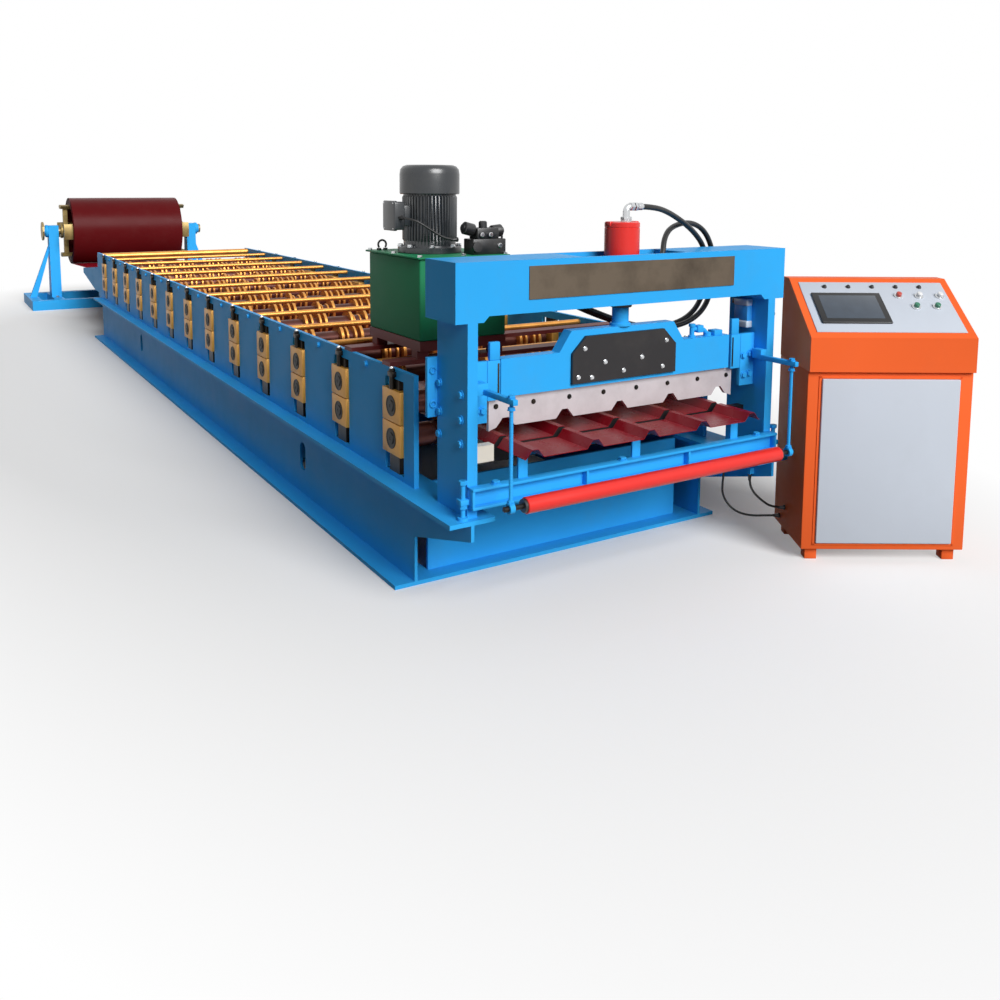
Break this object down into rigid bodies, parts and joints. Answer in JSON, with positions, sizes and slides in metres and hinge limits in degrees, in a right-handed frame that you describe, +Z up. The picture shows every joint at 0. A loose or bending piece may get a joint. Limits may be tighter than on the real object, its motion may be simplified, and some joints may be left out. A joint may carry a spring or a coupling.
{
  "type": "roll forming machine",
  "caption": "Roll forming line for trapezoidal roofing sheet: decoiler with coil, roll stand on beams, hydraulic cutter, run-out roller and control cabinet.",
  "frame": {"origin": "on the floor under the foot of the front cross member, on the line's centre plane", "axes": "+X is the feed direction from the coil to the cutter, +Y runs across towards the control cabinet, +Z is up"},
  "size_m": [8.8974, 2.1114, 1.293],
  "materials": {
    "blue_paint": "glossy",
    "zinc_yellow": "satin",
    "steel_bright": "polished",
    "blade_steel": "satin",
    "red_sheet": "glossy",
    "red_paint": "glossy",
    "dark_metal": "satin",
    "maroon_paint": "satin",
    "black_plate": "satin",
    "brushed_plate": "satin",
    "green_paint": "satin",
    "grey_motor": "satin",
    "orange_paint": "satin",
    "panel_grey": "satin",
    "screen": "glossy",
    "button": "glossy",
    "black_rubber": "matte",
    "cream_plastic": "satin"
  },
  "bodies": {
    "root": {"base_beams": "blue_paint", "beam_plate": "brushed_plate", "bearing_blocks": "zinc_yellow", "block_packers": "blue_paint", "cabinet_body": "orange_paint", "cabinet_cable_1": "black_rubber", "cabinet_cable_2": "black_rubber", "cabinet_door": "panel_grey", "console_hood": "orange_paint", "console_panel": "panel_grey", "cross_members": "blue_paint", "cut_sheet": "red_sheet", "cutter_beam": "blue_paint", "cutter_posts": "blue_paint", "cylinder_barrel": "red_paint", "decoiler_base": "blue_paint", "decoiler_posts": "blue_paint", "entry_guide": "blue_paint", "formed_strip": "red_sheet", "front_panel": "blue_paint", "hose_lower": "black_rubber", "hose_upper": "black_rubber", "limit_switch": "cream_plastic", "lower_die": "blade_steel", "lower_rolls": "steel_bright", "motor_cable": "black_rubber", "oil_tank": "green_paint", "pump_motor": "grey_motor", "push_buttons": "button", "ram_guides": "blue_paint", "roller_hangers": "blue_paint", "runout_sill": "blue_paint", "side_plates": "blue_paint", "tank_brackets": "maroon_paint", "tank_cover": "green_paint", "tie_bars": "zinc_yellow", "touch_screen": "screen", "valve_block": "dark_metal"},
    "coil_reel": {"spindle": "steel_bright", "coil_supports": "zinc_yellow", "coil": "red_sheet"},
    "cutter": {"cutter_rod": "steel_bright", "cutter_ram": "blue_paint", "ram_cover": "black_plate", "cutter_blade": "blade_steel"},
    "runout_roller": {"runout_roller": "red_paint"},
    "upper_roll_01": {"upper_roll_01": "steel_bright"},
    "upper_roll_02": {"upper_roll_02": "steel_bright"},
    "upper_roll_03": {"upper_roll_03": "steel_bright"},
    "upper_roll_04": {"upper_roll_04": "steel_bright"},
    "upper_roll_05": {"upper_roll_05": "steel_bright"},
    "upper_roll_06": {"upper_roll_06": "steel_bright"},
    "upper_roll_07": {"upper_roll_07": "steel_bright"},
    "upper_roll_08": {"upper_roll_08": "steel_bright"},
    "upper_roll_09": {"upper_roll_09": "steel_bright"},
    "upper_roll_10": {"upper_roll_10": "steel_bright"},
    "upper_roll_11": {"upper_roll_11": "steel_bright"},
    "upper_roll_12": {"upper_roll_12": "steel_bright"},
    "upper_roll_13": {"upper_roll_13": "steel_bright"}
  },
  "joints": [
    {"name": "coil_spin", "type": "hinge", "parent": "root", "child": "coil_reel", "pos_m": [-7.7, 0, 0.73], "axis": [0, 1, 0], "continuous": true},
    {"name": "cutter_stroke", "type": "slide", "parent": "root", "child": "cutter", "axis": [0, 0, -1], "range_m": [0, 0.08]},
    {"name": "runout_roller_spin", "type": "hinge", "parent": "root", "child": "runout_roller", "pos_m": [0.484, 0, 0.373], "axis": [0, 1, 0], "continuous": true},
    {"name": "upper_roll_01_spin", "type": "hinge", "parent": "root", "child": "upper_roll_01", "pos_m": [-5.202, 0, 0.544], "axis": [0, 1, 0], "continuous": true},
    {"name": "upper_roll_02_spin", "type": "hinge", "parent": "root", "child": "upper_roll_02", "pos_m": [-4.776, 0, 0.544], "axis": [0, 1, 0], "continuous": true},
    {"name": "upper_roll_03_spin", "type": "hinge", "parent": "root", "child": "upper_roll_03", "pos_m": [-4.35, 0, 0.544], "axis": [0, 1, 0], "continuous": true},
    {"name": "upper_roll_04_spin", "type": "hinge", "parent": "root", "child": "upper_roll_04", "pos_m": [-3.924, 0, 0.544], "axis": [0, 1, 0], "continuous": true},
    {"name": "upper_roll_05_spin", "type": "hinge", "parent": "root", "child": "upper_roll_05", "pos_m": [-3.498, 0, 0.544], "axis": [0, 1, 0], "continuous": true},
    {"name": "upper_roll_06_spin", "type": "hinge", "parent": "root", "child": "upper_roll_06", "pos_m": [-3.072, 0, 0.544], "axis": [0, 1, 0], "continuous": true},
    {"name": "upper_roll_07_spin", "type": "hinge", "parent": "root", "child": "upper_roll_07", "pos_m": [-2.646, 0, 0.544], "axis": [0, 1, 0], "continuous": true},
    {"name": "upper_roll_08_spin", "type": "hinge", "parent": "root", "child": "upper_roll_08", "pos_m": [-2.22, 0, 0.544], "axis": [0, 1, 0], "continuous": true},
    {"name": "upper_roll_09_spin", "type": "hinge", "parent": "root", "child": "upper_roll_09", "pos_m": [-1.794, 0, 0.544], "axis": [0, 1, 0], "continuous": true},
    {"name": "upper_roll_10_spin", "type": "hinge", "parent": "root", "child": "upper_roll_10", "pos_m": [-1.368, 0, 0.544], "axis": [0, 1, 0], "continuous": true},
    {"name": "upper_roll_11_spin", "type": "hinge", "parent": "root", "child": "upper_roll_11", "pos_m": [-0.942, 0, 0.544], "axis": [0, 1, 0], "continuous": true},
    {"name": "upper_roll_12_spin", "type": "hinge", "parent": "root", "child": "upper_roll_12", "pos_m": [-0.516, 0, 0.544], "axis": [0, 1, 0], "continuous": true},
    {"name": "upper_roll_13_spin", "type": "hinge", "parent": "root", "child": "upper_roll_13", "pos_m": [-0.09, 0, 0.544], "axis": [0, 1, 0], "continuous": true}
  ],
  "couplings": [
    {"joint": "upper_roll_01_spin", "follows": "upper_roll_13_spin", "ratio": 1},
    {"joint": "upper_roll_02_spin", "follows": "upper_roll_13_spin", "ratio": 1},
    {"joint": "upper_roll_03_spin", "follows": "upper_roll_13_spin", "ratio": 1},
    {"joint": "upper_roll_04_spin", "follows": "upper_roll_13_spin", "ratio": 1},
    {"joint": "upper_roll_05_spin", "follows": "upper_roll_13_spin", "ratio": 1},
    {"joint": "upper_roll_06_spin", "follows": "upper_roll_13_spin", "ratio": 1},
    {"joint": "upper_roll_07_spin", "follows": "upper_roll_13_spin", "ratio": 1},
    {"joint": "upper_roll_08_spin", "follows": "upper_roll_13_spin", "ratio": 1},
    {"joint": "upper_roll_09_spin", "follows": "upper_roll_13_spin", "ratio": 1},
    {"joint": "upper_roll_10_spin", "follows": "upper_roll_13_spin", "ratio": 1},
    {"joint": "upper_roll_11_spin", "follows": "upper_roll_13_spin", "ratio": 1},
    {"joint": "upper_roll_12_spin", "follows": "upper_roll_13_spin", "ratio": 1}
  ]
}
